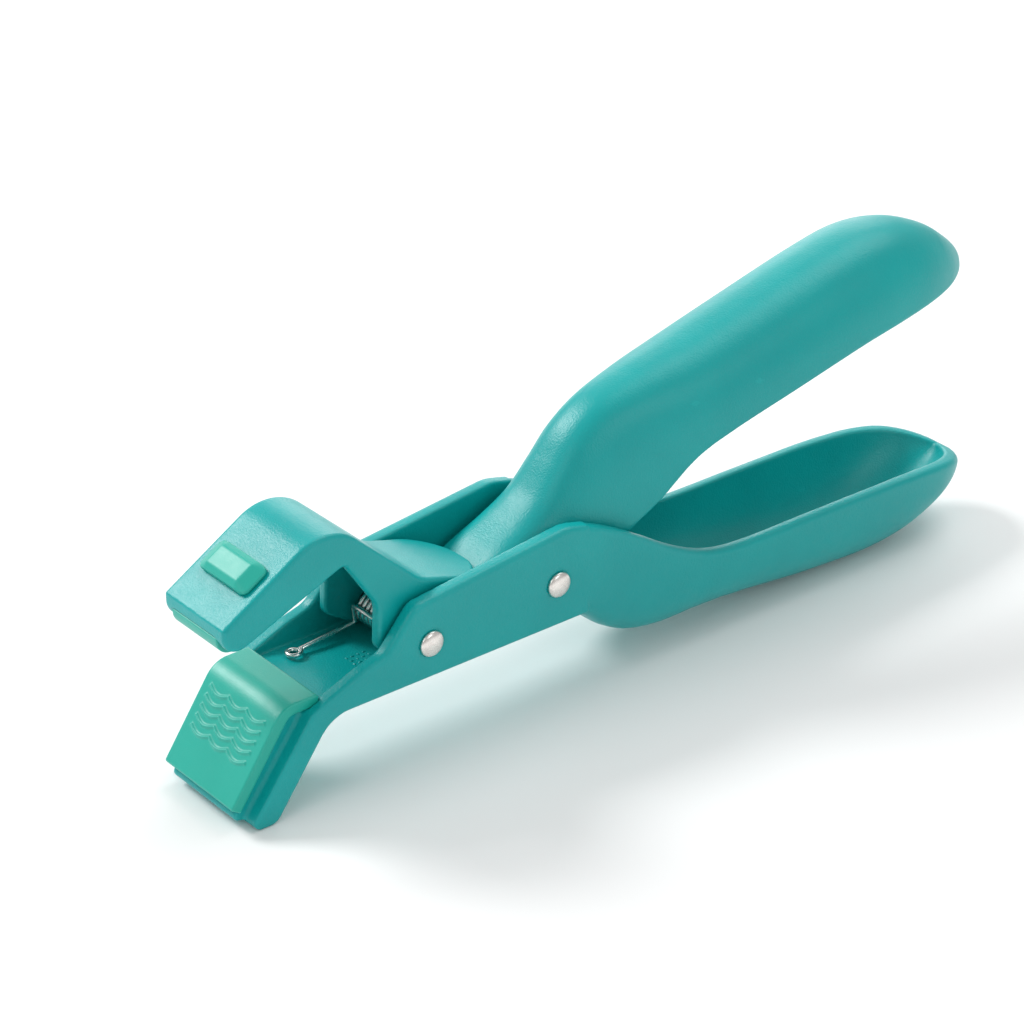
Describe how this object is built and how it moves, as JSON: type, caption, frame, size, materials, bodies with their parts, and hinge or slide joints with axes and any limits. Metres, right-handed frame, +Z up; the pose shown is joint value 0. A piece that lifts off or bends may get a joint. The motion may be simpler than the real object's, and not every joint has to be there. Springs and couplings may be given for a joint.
{
  "type": "sprung bowl and plate clip",
  "caption": "Hand-held clip for hot bowls: a lower jaw and trough handle in one piece, a sprung upper jaw and a squeezed upper handle.",
  "frame": {"origin": "bottom centre of the clip's bounding box, where the jaw tip and the lower handle rest on a table", "axes": "+X from the jaws to the handles, +Y to the far side across the rivets, +Z up"},
  "size_m": [0.1947, 0.0294, 0.0733],
  "materials": {
    "teal_plastic": "matte moulded, fine grain",
    "green_silicone": "satin silicone",
    "rivet_steel": "satin",
    "spring_steel": "drawn wire"
  },
  "bodies": {
    "clip_body": {"body_frame": "teal_plastic", "lower_pad": "green_silicone", "front_rivet": "rivet_steel", "front_rivet_cap": "rivet_steel", "rear_rivet": "rivet_steel", "rear_rivet_cap": "rivet_steel", "torsion_spring": "spring_steel"},
    "handle": {"upper_handle": "teal_plastic"},
    "jaw": {"upper_jaw": "teal_plastic", "upper_pad": "green_silicone"}
  },
  "joints": [
    {"name": "handle_pivot", "type": "hinge", "parent": "clip_body", "child": "handle", "pos_m": [-0.0215, 0, 0.0272], "axis": [0, 1, 0], "range_deg": [0, 19.4]},
    {"name": "jaw_pivot", "type": "hinge", "parent": "clip_body", "child": "jaw", "pos_m": [-0.0525, 0, 0.0255], "axis": [0, 1, 0], "range_deg": [-31.04, 0], "stiffness_Nm_per_rad": 0.25, "springref_deg": 28.65, "deforming": ["torsion_spring"]}
  ],
  "couplings": [
    {"joint": "jaw_pivot", "follows": "handle_pivot", "ratio": -1.6}
  ]
}
